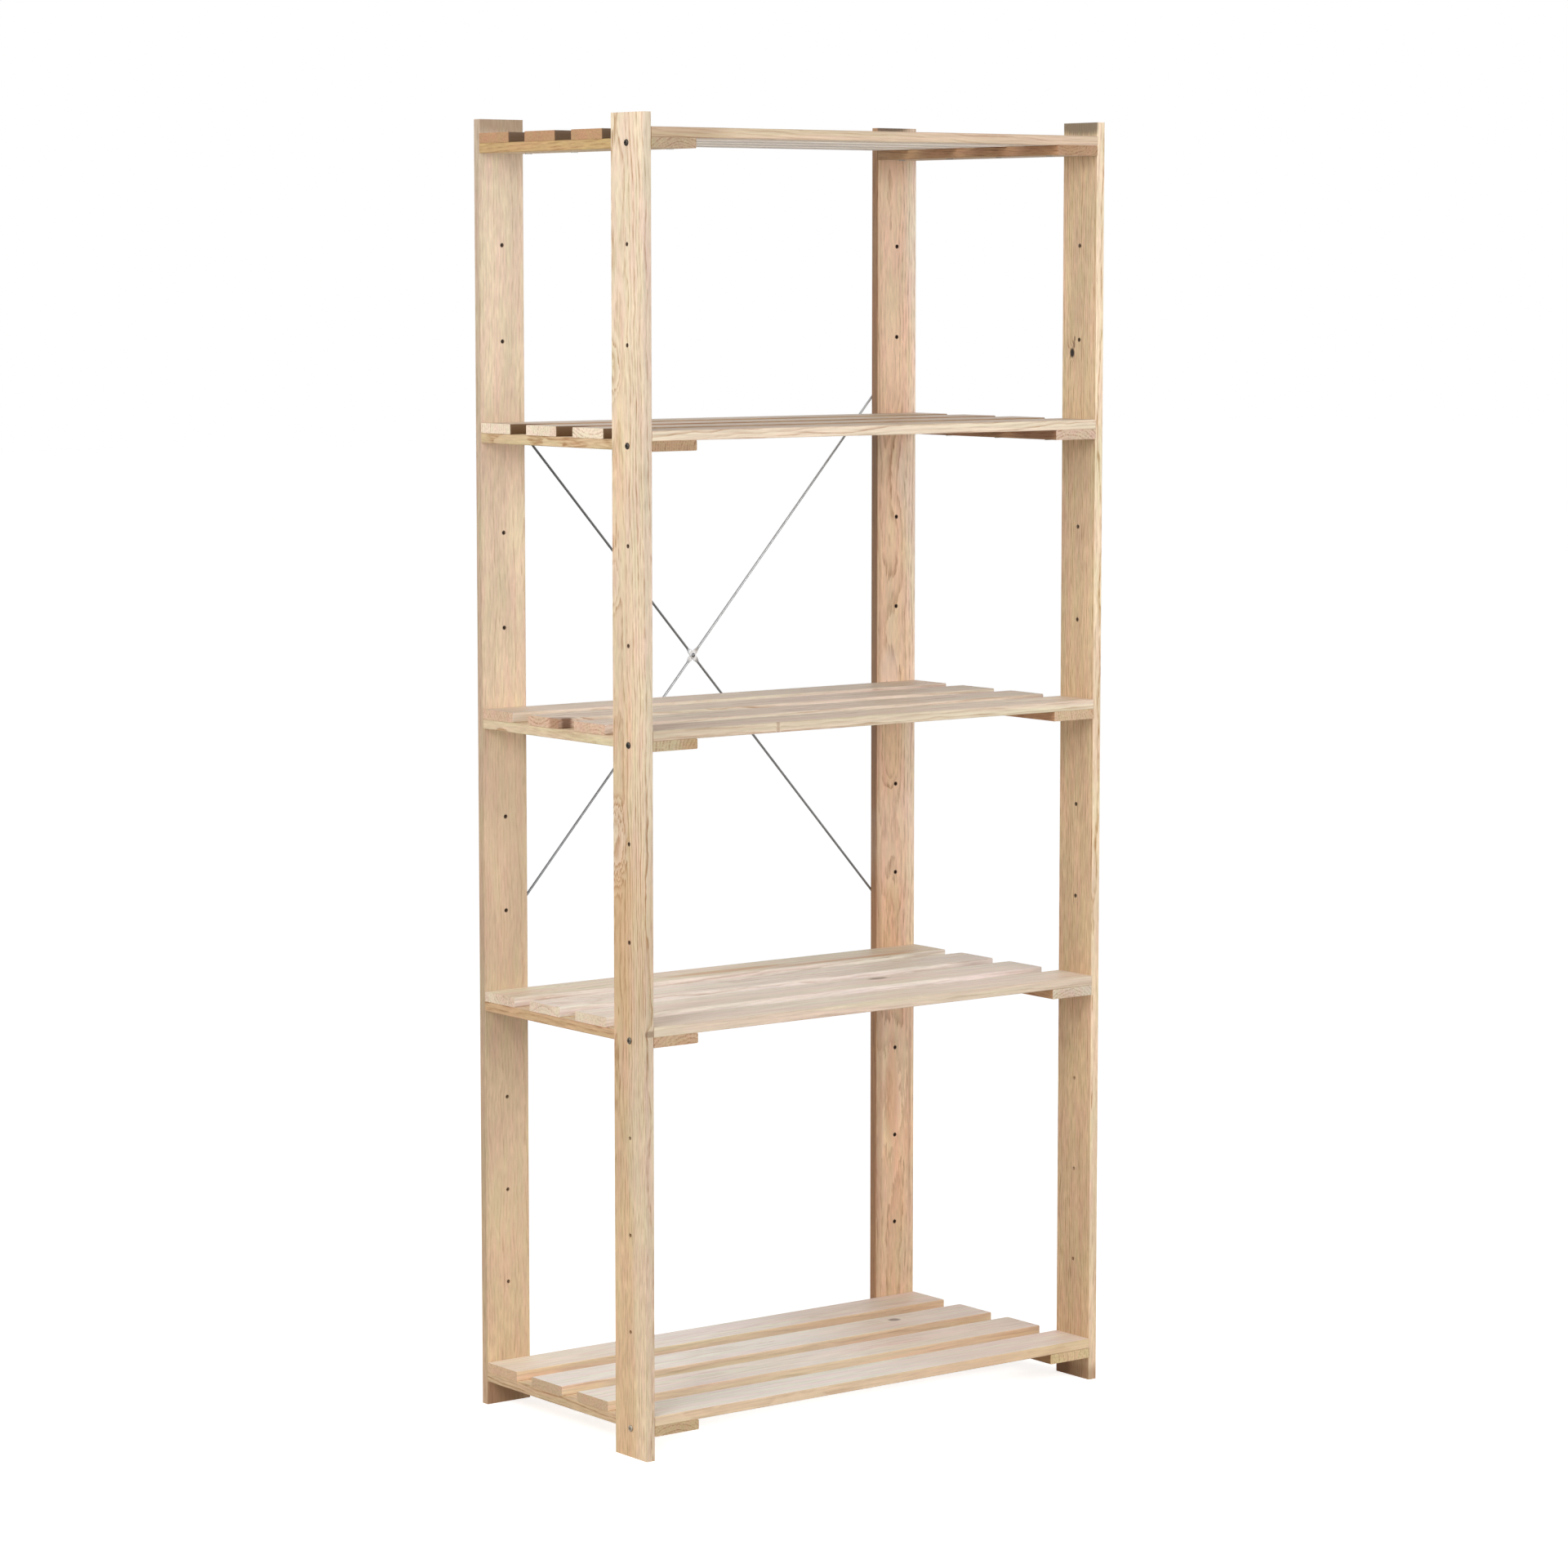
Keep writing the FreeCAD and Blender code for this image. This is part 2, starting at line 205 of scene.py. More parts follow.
def planedPine(name, board, turn, low, high, seed):
    # Planed pine without finish: matt, pale, with thin amber latewood that ends sharply, broken by flecks
    material, tree, shader = newMaterial(name)
    add = functools.partial(addNode, tree)
    tones = {key: linearColour(code) for key, code in pineTones[board["tone"]].items()}
    coord = add("TexCoord")
    place = add("Mapping", {
        "Vector": coord.outputs["Object"],
        "Location": turn @ (low + high) * (-metreInMm / 2),
        "Rotation": turn.to_euler(),
        "Scale": (metreInMm,) * 3,
    }).outputs["Vector"]
    axes = add("SeparateXYZ", {"Vector": place}).outputs
    across, along = axes["X"], axes["Z"]
    noise = {}
    wideShift, longShift = [seed * shift for shift in grainShift["board"]]
    for number, (key, pattern) in enumerate(grainPatterns.items()):
        reach = pattern["along"] * (board["stretch"] if key in ("fleck", "fibre", "hue") else 1.0)
        spread = add("VectorMath", {
            0: place,
            1: (1 / pattern["across"], 1 / pattern["across"], 1 / reach),
            2: (wideShift, number * grainShift["pattern"], longShift),
        }, operation="MULTIPLY_ADD").outputs["Vector"]
        noise[key] = add("TexNoise", {"Vector": spread, "Scale": 1.0, "Detail": pattern["detail"]}).outputs

    # distance from the pith, which wanders and leans along the grain
    sway = grainSwings["pith"]
    pithAcross, pithDepth = board["pith"]
    leanAcross, leanDepth = [drift / metreInMm for drift in board["lean"]]
    pith = add("VectorMath", {
        0: noise["wander"]["Color"],
        1: (2 * sway, 2 * sway, 0),
        2: (-sway - pithAcross, -sway - pithDepth, 0),
    }, operation="MULTIPLY_ADD").outputs["Vector"]
    leaning = add("VectorMath", {
        0: along,
        1: (-leanAcross, -leanDepth, 0),
        2: pith,
    }, operation="MULTIPLY_ADD").outputs["Vector"]
    stem = add("VectorMath", {0: place, 1: (1, 1, 0), 2: leaning}, operation="MULTIPLY_ADD").outputs["Vector"]
    radius = add("VectorMath", {0: stem}, operation="LENGTH").outputs["Value"]

    # knots and swirls push the rings aside and deepen their latewood
    knots = [{**pineKnot, **knot} for knot in board["knots"]]
    reaches, deepened = [], []
    for knot in knots:
        wide, long = 1 / knot["width"], 1 / knot["length"]
        offCentre = add("VectorMath", {
            0: place,
            1: (wide, 0, long),
            2: (-knot["at"][0] * wide, 0, -knot["at"][1] * long),
        }, operation="MULTIPLY_ADD").outputs["Vector"]
        away = add("VectorMath", {0: offCentre}, operation="LENGTH").outputs["Value"]
        ragged = add("Math", {
            0: noise["fleck"]["Fac"], 1: knot["ragged"], 2: away,
        }, operation="MULTIPLY_ADD").outputs[0]
        reach = add("Math", {0: ragged, 1: knot["ragged"] / 2}, operation="SUBTRACT").outputs[0]
        reaches.append(reach)
        if knot["push"]:
            near, far = knotFades["push"]
            push = add("MapRange", {
                "Value": reach, "From Min": near, "From Max": far, "To Min": knot["push"], "To Max": 0.0,
            }, interpolation_type="SMOOTHERSTEP").outputs["Result"]
            radius = add("Math", {0: radius, 1: push}, operation="ADD").outputs[0]
        if knot["deepen"]:
            near, far = knotFades["deepen"]
            deepened.append(add("MapRange", {
                "Value": reach, "From Min": near, "From Max": far, "To Min": knot["deepen"], "To Max": 0.0,
            }, interpolation_type="SMOOTHSTEP").outputs["Result"])

    # rings: the share of each year's growth, from soft earlywood to hard latewood
    wavy = radius
    for key in ("bend", "wobble"):
        wavy = add("Math", {
            0: noise[key]["Fac"], 1: grainSwings[key], 2: wavy,
        }, operation="MULTIPLY_ADD").outputs[0]
    phase = add("Math", {0: wavy, 1: board["ringWidth"]}, operation="DIVIDE").outputs[0]
    ringNumber = add("Math", {0: phase}, operation="FLOOR").outputs[0]
    ringShare = add("Math", {0: phase}, operation="FRACT").outputs[0]
    ringDraw = add("TexWhiteNoise", {"W": ringNumber}, noise_dimensions="1D").outputs["Value"]
    ringDepth = add("MapRange", {
        "Value": ringDraw, "To Min": growthRing["faintest"], "To Max": 1.0,
    }).outputs["Result"]
    ring = add("ValToRGB", {"Fac": ringShare})
    stops = ring.color_ramp.elements
    for stop in stops:
        stop.color = (growthRing["ends"],) * 3 + (1,)
    for position, level in growthRing["stops"]:
        stops.new(position).color = (level,) * 3 + (1,)
    late = add("Math", {0: ring.outputs["Color"], 1: ringDepth}, operation="MULTIPLY").outputs[0]
    least, most = [share * board["contrast"] for share in growthRing["broken"]]
    broken = add("MapRange", {
        "Value": noise["fleck"]["Fac"],
        "From Min": growthRing["breaks"][0], "From Max": growthRing["breaks"][1],
        "To Min": least, "To Max": most,
    }).outputs["Result"]
    for deeper in deepened:
        broken = add("Math", {0: broken, 1: deeper}, operation="ADD").outputs[0]
    lateShare = add("Math", {0: late, 1: broken}, operation="MULTIPLY", use_clamp=True).outputs[0]

    # colour: sapwood to heartwood, then latewood
    heartEdge = add("Math", {
        0: noise["tone"]["Fac"], 1: heartwood["stray"], 2: radius,
    }, operation="MULTIPLY_ADD").outputs[0]
    heart = add("MapRange", {
        "Value": heartEdge,
        "From Min": board["heartRadius"] + heartwood["rim"][0],
        "From Max": board["heartRadius"] + heartwood["rim"][1],
        "To Min": 1.0, "To Max": 0.0,
    }, interpolation_type="SMOOTHSTEP").outputs["Result"]
    wood = add("Mix", {
        0: heart, mixA: tones["early"], mixB: tones["heart"],
    }, data_type="RGBA").outputs[mixOut]
    wood = add("Mix", {0: lateShare, mixA: wood, mixB: tones["late"]}, data_type="RGBA").outputs[mixOut]

    # tints: patches of hue, flecks, fibres, slow changes of tone, and the fade from end to end
    hue = add("MapRange", {
        "Value": noise["hue"]["Fac"],
        "From Min": hueTints["levels"][0], "From Max": hueTints["levels"][1],
    }).outputs["Result"]
    tints = [add("Mix", {
        0: hue, mixA: linearColour(hueTints["rose"]), mixB: linearColour(hueTints["straw"]),
    }, data_type="RGBA").outputs[mixOut]]
    for key, (pale, dark) in grainShades.items():
        strength = board["mottle"] if key == "tone" else 1.0
        tints.append(add("MapRange", {
            "Value": noise[key]["Fac"], "From Min": shadeLevels[0], "From Max": shadeLevels[1],
            "To Min": 1 + strength * pale, "To Max": 1 + strength * dark,
        }).outputs["Result"])
    half = max(high - low) * metreInMm / 2
    wayUp = add("MapRange", {"Value": along, "From Min": -half, "From Max": half}).outputs["Result"]
    tints.append(add("Mix", {
        0: wayUp, mixA: linearColour(board["start"]), mixB: white,
    }, data_type="RGBA").outputs[mixOut])

    # wide faces, narrow edges and sawn ends, told apart by the way they look
    facing = [add("VectorMath", {
        0: coord.outputs["Normal"], 1: turn[axis],
    }, operation="DOT_PRODUCT").outputs["Value"] for axis in range(3)]
    side = add("Mix", {
        0: facing[0], mixA: linearColour(board["edge"]), mixB: linearColour(board["farEdge"]),
    }, data_type="RGBA").outputs[mixOut]
    for axis, key in ((1, "face"), (2, "end")):
        share = add("Math", {0: facing[axis]}, operation="ABSOLUTE").outputs[0]
        mask = add("MapRange", {
            "Value": share, "From Min": faceTurn[0], "From Max": faceTurn[1],
        }).outputs["Result"]
        side = add("Mix", {
            0: mask, mixA: side, mixB: linearColour(board[key]),
        }, data_type="RGBA").outputs[mixOut]
    tints.append(side)
    for tint in tints:
        wood = add("VectorMath", {0: wood, 1: tint}, operation="MULTIPLY").outputs["Vector"]

    # dark knots, streaks, stains and painted shade lie over the tinted wood
    for knot, reach in zip(knots, reaches):
        if not knot["dark"]:
            continue
        near, far = knotFades["dark"]
        core = add("MapRange", {
            "Value": reach, "From Min": near, "From Max": far, "To Min": knot["dark"], "To Max": 0.0,
        }, interpolation_type="SMOOTHSTEP").outputs["Result"]
        if knot["only"]:
            shown = add("Math", {
                0: facing[1], 1: knot["only"],
            }, operation="MULTIPLY", use_clamp=True).outputs[0]
            core = add("Math", {0: core, 1: shown}, operation="MULTIPLY").outputs[0]
        wood = add("Mix", {
            0: core, mixA: wood, mixB: linearColour(knot["colour"]),
        }, data_type="RGBA").outputs[mixOut]

    # walls of the drilled holes, by the distance from the nearest hole's axis: torn fibres and painted shade,
    # set apart for the lower holes
    if board["holePitch"]:
        toHole = add("Math", {0: along, 1: board["holePitch"], 2: 0.0}, operation="WRAP").outputs[0]
        toHole = add("Math", {0: toHole, 1: board["holePitch"] / 2}, operation="SUBTRACT").outputs[0]
        fromAxis = add("CombineXYZ", {"X": across, "Y": toHole}).outputs["Vector"]
        fromAxis = add("VectorMath", {0: fromAxis}, operation="LENGTH").outputs["Value"]
        dark = add("MapRange", {
            "Value": wayUp, "From Min": holeWallShade["lower"][0], "From Max": holeWallShade["lower"][1],
            "To Min": board["holeDark"][0], "To Max": board["holeDark"][1],
        }).outputs["Result"]
        wall = add("MapRange", {
            "Value": fromAxis, "From Min": holeWallShade["radius"],
            "From Max": holeWallShade["radius"] + holeWallShade["rim"], "To Min": dark, "To Max": 0.0,
        }).outputs["Result"]
        wood = add("Mix", {
            0: wall, mixA: wood, mixB: linearColour(holeWallShade["colour"]),
        }, data_type="RGBA").outputs[mixOut]

    soft, hard = planedFinish["roughness"]
    roughness = add("MapRange", {"Value": late, "To Min": soft, "To Max": hard}).outputs["Result"]
    relief = add("Math", {
        0: noise["fibre"]["Fac"], 1: planedFinish["fibres"], 2: late,
    }, operation="MULTIPLY_ADD").outputs[0]
    bump = add("Bump", {
        "Height": relief, "Strength": planedFinish["bump"], "Distance": planedFinish["height"] * mm,
    }).outputs["Normal"]
    tree.links.new(wood, shader.inputs["Base Color"])
    tree.links.new(roughness, shader.inputs["Roughness"])
    tree.links.new(bump, shader.inputs["Normal"])
    shader.inputs["Specular IOR Level"].default_value = planedFinish["specular"]
    return material


# marks that several slats share: a tan stain at the right end, and painted shade on the front edge at the
# left end, for the shadow in the gap between slats
tanEnd = {"at": (0, 320), "width": 120, "length": 200, "dark": 0.22, "colour": "#d99c72"}
paintedGapShade = {"at": (-34.5, -365), "width": 1.4, "length": 45, "dark": 0.95, "colour": "#654726"}

boardLooks = {
    # the boards that show most, with the figure of each: knots, swirls, streaks, stains and painted shade lie
    # at their places across and along the board from its middle, with half widths, in mm
    "upright_front_left": {
        "tone": "honey", "pith": (24.0, 36.0), "lean": (-5.0, 24.0), "ringWidth": 4.2, "contrast": 0.85,
        "mottle": 2.0, "start": "#fbf5ec", "edge": "#e6e5e9", "farEdge": "#e4ddd5",
        "knots": (
            {"at": (27, -64), "width": 9, "length": 24, "push": 19, "deepen": 0.9},
            {"at": (30, 264), "width": 6, "length": 16, "push": 9, "deepen": 0.3},
            {"at": (27, 533), "width": 6, "length": 16, "push": 9, "deepen": 0.3},
            {"at": (0, -190), "width": 40, "length": 105, "deepen": 0.45, "dark": 0.2, "colour": "#bd8f5c"},
            {"at": (-34.5, -301), "width": 1.4, "length": 3.4, "push": 1, "dark": 0.65, "colour": "#7a5f48"},
            {"at": (0, -560), "width": 50, "length": 180, "deepen": -0.3},
        ),
    },
    "upright_back_left": {
        "tone": "rose", "pith": (52.0, -60.0), "lean": (4.0, 12.0), "contrast": 0.46, "start": "#fdf1dd",
        "edge": "#e9e6e2", "mottle": 2.2, "holeDark": (0.2, 0.75),
        "knots": (
            {"at": (0, -130), "width": 46, "length": 120, "dark": 0.14, "colour": "#ac7c58"},
            {"at": (0, -330), "width": 60, "length": 240, "dark": 0.13, "colour": "#7d6f62"},
            # painted shade: a dark band at the top of the front face above the top shelf, and a dark patch at
            # the foot
            {"at": (10, 850), "width": 60, "length": 17, "dark": 0.58, "colour": "#937051", "only": -1},
            {"at": (-20, -838), "width": 40, "length": 22, "dark": 0.45, "colour": "#8f5430", "only": -1},
        ),
    },
    "upright_back_right": {
        "tone": "russet", "pith": (-8.0, -30.0), "lean": (-6.0, 16.0), "ringWidth": 4.8, "contrast": 0.66,
        "start": "#f4dfc9", "edge": "#c8b29c", "heartRadius": 34.0, "mottle": 2.2, "holeDark": (1.0, 1.0),
        "knots": (
            {"at": (-31, -470), "width": 7, "length": 300, "dark": 0.4, "colour": "#94694a"},
            {"at": (-33, 230), "width": 5, "length": 420, "dark": 0.3, "colour": "#a07657"},
            {"at": (-34.5, 250), "width": 0.8, "length": 330, "dark": 0.42, "colour": "#6b5442"},
            {"at": (26, -540), "width": 2.5, "length": 130, "dark": 0.35, "colour": "#8f6a48"},
            {"at": (-6, -500), "width": 10, "length": 62, "push": 12, "dark": 0.4, "colour": "#c98f6a"},
            {"at": (-4, 150), "width": 9, "length": 42, "push": 8, "deepen": 0.2, "ragged": 0.4},
            {"at": (-10, 92), "width": 15, "length": 34, "dark": 0.3, "colour": "#f7e6d8", "ragged": 0.4},
            {"at": (4, -142), "width": 40, "length": 60, "dark": 0.14, "colour": "#efe3d8"},
            {"at": (-3, 378), "width": 8, "length": 34, "push": 9, "deepen": 0.2, "ragged": 0.4},
            {"at": (-9.7, -108), "width": 8, "length": 26, "push": 6, "deepen": 0.2, "ragged": 0.4},
            {"at": (-8, -12), "width": 7, "length": 24, "push": -5},
            {"at": (-12, -232), "width": 7, "length": 16, "push": 4},
            # painted shade: darker bands at the top of the front face, around the top shelf
            {"at": (0, 850), "width": 60, "length": 60, "dark": 0.3, "colour": "#a5774f", "only": -1},
            {"at": (-16, 852), "width": 30, "length": 9, "dark": 0.8, "colour": "#4a3d30", "only": -1},
        ),
    },
    "upright_front_right": {
        "tone": "straw", "pith": (-96.0, 30.0), "lean": (8.0, 6.0), "contrast": 0.95, "mottle": 2.4,
        "start": "#ebe2db", "face": "#f4e8d9", "edge": "#fdf9f3",
        "knots": (
            # painted shade: darker at the foot, more on the inner face, and a dark band at the top of the
            # inner face above the top shelf
            {"at": (-8, -850), "width": 60, "length": 17, "dark": 0.45, "colour": "#855836"},
            {"at": (0, 850), "width": 60, "length": 15, "dark": 0.85, "colour": "#6b5d4a", "only": 1},
            {"at": (24, -838), "width": 17, "length": 20, "dark": 0.6, "colour": "#74472a", "only": 1},
            {
                "at": (13.9, 545), "width": 4.0, "length": 5.6, "push": 6, "dark": 1.0, "colour": "#1d1009",
                "ragged": 0.4,
            },
            {"at": (10.5, 556), "width": 1.7, "length": 5, "push": 2, "dark": 0.7, "colour": "#5f3f28"},
            {"at": (9, 564), "width": 1.3, "length": 3, "push": 1, "dark": 0.7, "colour": "#5f3f28"},
        ),
    },
    "shelf_1_slat_3": {
        "knots": (
            tanEnd,
            {"at": (11, 228), "width": 6, "length": 8, "push": 6, "dark": 0.75, "colour": "#6d5a58"},
        ),
    },
    "shelf_1_slat_4": {
        "knots": (
            tanEnd,
            {"at": (0, -330), "width": 120, "length": 150, "dark": 0.2, "colour": "#f7c79b"},
        ),
    },
    "shelf_2_slat_2": {
        "knots": ({"at": (18, 120), "width": 6, "length": 14, "push": 6, "dark": 0.7, "colour": "#6f5644"},),
    },
    "shelf_2_slat_3": {
        "contrast": 0.9,
        "knots": ({"at": (6, -330), "width": 14, "length": 34, "push": 22, "deepen": 0.4},),
    },
    "shelf_2_slat_4": {
        "pith": (-16.0, 22.0), "contrast": 0.9, "face": "#f4f0e3",
        "knots": (
            {"at": (8, -330), "width": 16, "length": 40, "push": 24, "deepen": 0.4},
            {"at": (-10, 0), "width": 9, "length": 90, "push": 4, "dark": 0.65, "colour": "#cd935b"},
            {"at": (-24, 190), "width": 6, "length": 110, "push": 4, "dark": 0.6, "colour": "#cd935b"},
        ),
    },
    "shelf_3_slat_1": {"knots": ({"at": (-34.5, -168), "width": 3, "length": 2.0, "push": 2, "dark": 0.4},)},
    "shelf_3_slat_3": {
        "knots": (
            {"at": (-28, -361), "width": 12, "length": 20, "push": 8, "dark": 0.6, "colour": "#8c5930"},
            {"at": (-34, -352), "width": 3.5, "length": 7, "push": 3, "dark": 0.75, "colour": "#5d3a20"},
        ),
    },
    "shelf_5_slat_1": {
        "knots": ({"at": (-34.5, -330), "width": 16, "length": 70, "dark": 0.4, "colour": "#8f7149"},),
    },
}

# the slats of the top shelf behind its front one: their paler tone is partly painted light on their shaded
# undersides, and they carry the painted gap shade
paleSlat = {"tone": "cream", "end": "#bc9673", "contrast": 0.5, "knots": (paintedGapShade,)}

boardGroups = {
    # what boards of one kind or one shelf share, by a part of their names: later entries win
    "upright_": {"holePitch": 125.0},
    "_slat_": {"stretch": 3.4},
    "_batten_": {"tone": "amber", "contrast": 0.9, "farEdge": "#f0e2d0"},
    # painted shade: the right battens' darker inner edge stands for the shade beneath the slats
    "_batten_right": {"tone": "rose", "edge": "#e0c3a8", "end": "#cbb39d"},
    # per shelf, the battens' edge and end tints are partly the wood's colour and partly painted light and
    # shade
    "shelf_1_batten_right": {"edge": "#c9af8f", "end": "#f7f0d4"},
    "shelf_2_batten_right": {"end": "#f2f8ff"},
    "shelf_3_batten_right": {"end": "#eee4d4"},
    "shelf_4_batten_right": {"edge": "#bea38c", "end": "#f0e8e6"},
    "shelf_1_batten_left": {"edge": "#e6d9cc", "end": "#cdc3b3"},
    "shelf_2_batten_left": {"edge": "#e0cbb9", "end": "#cdbeb5"},
    "shelf_3_batten_left": {"edge": "#ecebe5", "end": "#c3c2b8"},
    "shelf_4_batten_left": {"edge": "#e5dfce", "end": "#b3a290", "contrast": 1.1},
    "shelf_5_batten_left": {"edge": "#d2c09d", "end": "#bbb3ab"},
    # per shelf, the slats' face, edge and end tints are partly the wood's colour and partly painted light and
    # shade: darker slat edges stand for the shade in the gaps between slats
    "shelf_1_slat_": {
        "tone": "cream", "edge": "#efdcc4", "end": "#d0b89c", "contrast": 0.62, "knots": (tanEnd,),
    },
    "shelf_1_slat_1": {"edge": "#dfd0b4"},
    "shelf_2_slat_": {"tone": "cream", "face": "#fdf8f4", "edge": "#efebea", "contrast": 0.6},
    "shelf_2_slat_1": {"face": "#faf4ed", "edge": "#dbd3c5"},
    "shelf_3_slat_": {"face": "#e8e2de", "edge": "#e9e2de", "end": "#e1c9b8"},
    "shelf_3_slat_1": {"face": "#faf4f0", "edge": "#e6e0d6", "start": "#e4e0dc"},
    # painted shade: shelf 4's slats have darker faces for the shade under shelf 5, and dark edges for the
    # shade in the gaps
    "shelf_4_slat_": {"face": "#ded7d2", "edge": "#b89f88", "end": "#f6eee4", "knots": (paintedGapShade,)},
    "shelf_4_slat_1": {"edge": "#e6e0d5", "knots": ()},
    "shelf_5_slat_1": {"edge": "#d8c9ba", "end": "#c09e7e"},
    "shelf_5_slat_2": paleSlat,
    "shelf_5_slat_3": paleSlat,
    "shelf_5_slat_4": paleSlat,
}


def boardFamily(name):
    if name.startswith("upright_front"):
        return "uprightFront"
    if name.startswith("upright_back"):
        return "uprightBack"
    if "_slat_" in name:
        return "slat"
    return "batten" if "_batten_" in name else None


boardChance = {
    # what is drawn for each board, lengths in mm
    "seed": 11,
    "flatSawn": 0.65,           # share of the boards that are flat sawn
    "beside": 18,               # how far beside the middle the pith of a flat sawn board lies at most
    "behind": (26, 70),         # how far behind the middle it lies
    "edgeSawn": 1.6,            # how much farther off it is where the board isn't flat sawn
    "leanAcross": 8,            # how the pith drifts for each metre along the grain
    "leanThrough": (8, 40),
    "ringWidth": (3.4, 5.6),
    "contrast": (0.7, 1.1),
}


def boardDraw(chance, odds):
    # flat sawn boards have the pith behind their middle, the others beside an edge
    flat = chance.random() < odds["flatSawn"]
    near = chance.uniform(-odds["beside"], odds["beside"])
    far = chance.uniform(*odds["behind"]) * chance.choice((-1, 1))
    leanAcross = chance.normal(0, odds["leanAcross"])
    leanThrough = chance.uniform(*odds["leanThrough"]) * chance.choice((-1, 1))
    return {
        "pith": (near, far) if flat else (far * odds["edgeSawn"], near),
        "lean": (leanAcross, leanThrough),
        "ringWidth": chance.uniform(*odds["ringWidth"]),
        "contrast": chance.uniform(*odds["contrast"]),
    }


chance = np.random.default_rng(boardChance["seed"])
boards = [name for name in sorted(nodes) if boardFamily(name)]
for seed, name in enumerate(boards):
    family = boardFamily(name)
    look = {**pineBoard, **boardDraw(chance, boardChance)}
    for part, shared in boardGroups.items():
        if part in name:
            look.update(shared)
    look.update(boardLooks.get(name, {}))
    low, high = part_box(name)
    dress(nodes[name], planedPine("planed_pine_" + name, look, grainTurns[family], low, high, seed))
print("pine:", len(boards), "boards")


# Metal: thin coats on steel, one material for each finish; the front rod's zinc plate is a darker copy with
# painted shade
metals = {
    # light and dark of the coat, roughness of the two, the size of its clouds in mm, painted shade at the
    # left end, a painted highlight on the flats at the crossing, and painted light near the foot
    "phosphatedSteel": {
        "light": "#66615a", "dark": "#37332e", "roughness": (0.42, 0.6), "cloud": 0.8, "footLight": "#b0a697",
    },
    "zincPlatedWire": {
        "light": "#c3c5c6", "dark": "#a1a3a5", "roughness": (0.28, 0.42), "cloud": 9.0,
        "leftShade": "#97989a", "flat": "#e9eaeb",
    },
    "zincWireShadedCopy": {
        "light": "#9fa1a3", "dark": "#767879", "roughness": (0.34, 0.5), "cloud": 9.0,
        "leftShade": "#b4b4b4", "flat": "#d9dadb",
    },
    "rivetSteel": {"light": "#8a8b8d", "dark": "#5c5d5f", "roughness": (0.34, 0.5), "cloud": 2.0},
    "drawnSteelWire": {"light": "#bdbdb8", "dark": "#95948e", "roughness": (0.28, 0.4), "cloud": 2.0},
}
cloudDetail = 3.0
leftShadeReach = (-0.3, 0.1)         # where the painted shade at the left end fades out, from the left, m
flatGlintReach = (7.0, 13.0)         # where the painted glint on the pressed flats fades out, from the rivet outwards, mm
footLightReach = (0.05, 0.75)        # heights between which the painted light near the foot fades out, m


def platedSteel(name, finish):
    # Thin coat on steel: cloudy patches a little duller than the rest, so the shine is broken
    material, tree, shader = newMaterial(name)
    add = functools.partial(addNode, tree)
    place = add("TexCoord").outputs["Object"]
    axes = add("SeparateXYZ", {"Vector": place}).outputs
    cloud = add("TexNoise", {
        "Vector": place, "Scale": 1 / (finish["cloud"] * mm), "Detail": cloudDetail,
    }).outputs["Fac"]
    colour = add("Mix", {
        0: cloud, mixA: linearColour(finish["light"]), mixB: linearColour(finish["dark"]),
    }, data_type="RGBA").outputs[mixOut]
    # painted shade: the wire darker towards its left end, for the darker reflection there
    if "leftShade" in finish:
        share = add("MapRange", {
            "Value": axes["X"], "From Min": leftShadeReach[0], "From Max": leftShadeReach[1],
        }).outputs["Result"]
        tint = add("Mix", {
            0: share, mixA: linearColour(finish["leftShade"]), mixB: white,
        }, data_type="RGBA").outputs[mixOut]
        colour = add("VectorMath", {0: colour, 1: tint}, operation="MULTIPLY").outputs["Vector"]
    # painted highlight: the flats at the crossing lighter, for their glint
    if "flat" in finish:
        rivetLow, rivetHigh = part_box("brace_rivet")
        away = add("VectorMath", {
            0: place, 1: (rivetLow + rivetHigh) / 2,
        }, operation="DISTANCE").outputs["Value"]
        paintedGlint = add("MapRange", {
            "Value": away, "From Min": flatGlintReach[0] * mm, "From Max": flatGlintReach[1] * mm,
            "To Min": 1.0, "To Max": 0.0,
        }).outputs["Result"]
        colour = add("Mix", {
            0: paintedGlint, mixA: colour, mixB: linearColour(finish["flat"]),
        }, data_type="RGBA").outputs[mixOut]
    # painted light: screw heads lighter near the foot, for the light near the floor
    if "footLight" in finish:
        raised = add("MapRange", {
            "Value": axes["Z"], "From Min": footLightReach[0], "From Max": footLightReach[1],
        }).outputs["Result"]
        colour = add("Mix", {
            0: raised, mixA: linearColour(finish["footLight"]), mixB: colour,
        }, data_type="RGBA").outputs[mixOut]
    smooth, dull = finish["roughness"]
    roughness = add("MapRange", {"Value": cloud, "To Min": smooth, "To Max": dull}).outputs["Result"]
    tree.links.new(colour, shader.inputs["Base Color"])
    tree.links.new(roughness, shader.inputs["Roughness"])
    shader.inputs["Metallic"].default_value = 1.0
    return material


metalOf = {name: platedSteel(name, finish) for name, finish in metals.items()}
for name in nodes:
    if name.endswith("_staples"):
        dress(nodes[name], metalOf["drawnSteelWire"])
dress(nodes["brace_rod_back"], metalOf["zincPlatedWire"])
# painted shade: the front rod wears a darker copy of the zinc plate, for the darker reflection it shows
dress(nodes["brace_rod_front"], metalOf["zincWireShadedCopy"])
print("metal:", len(metalOf), "finishes")


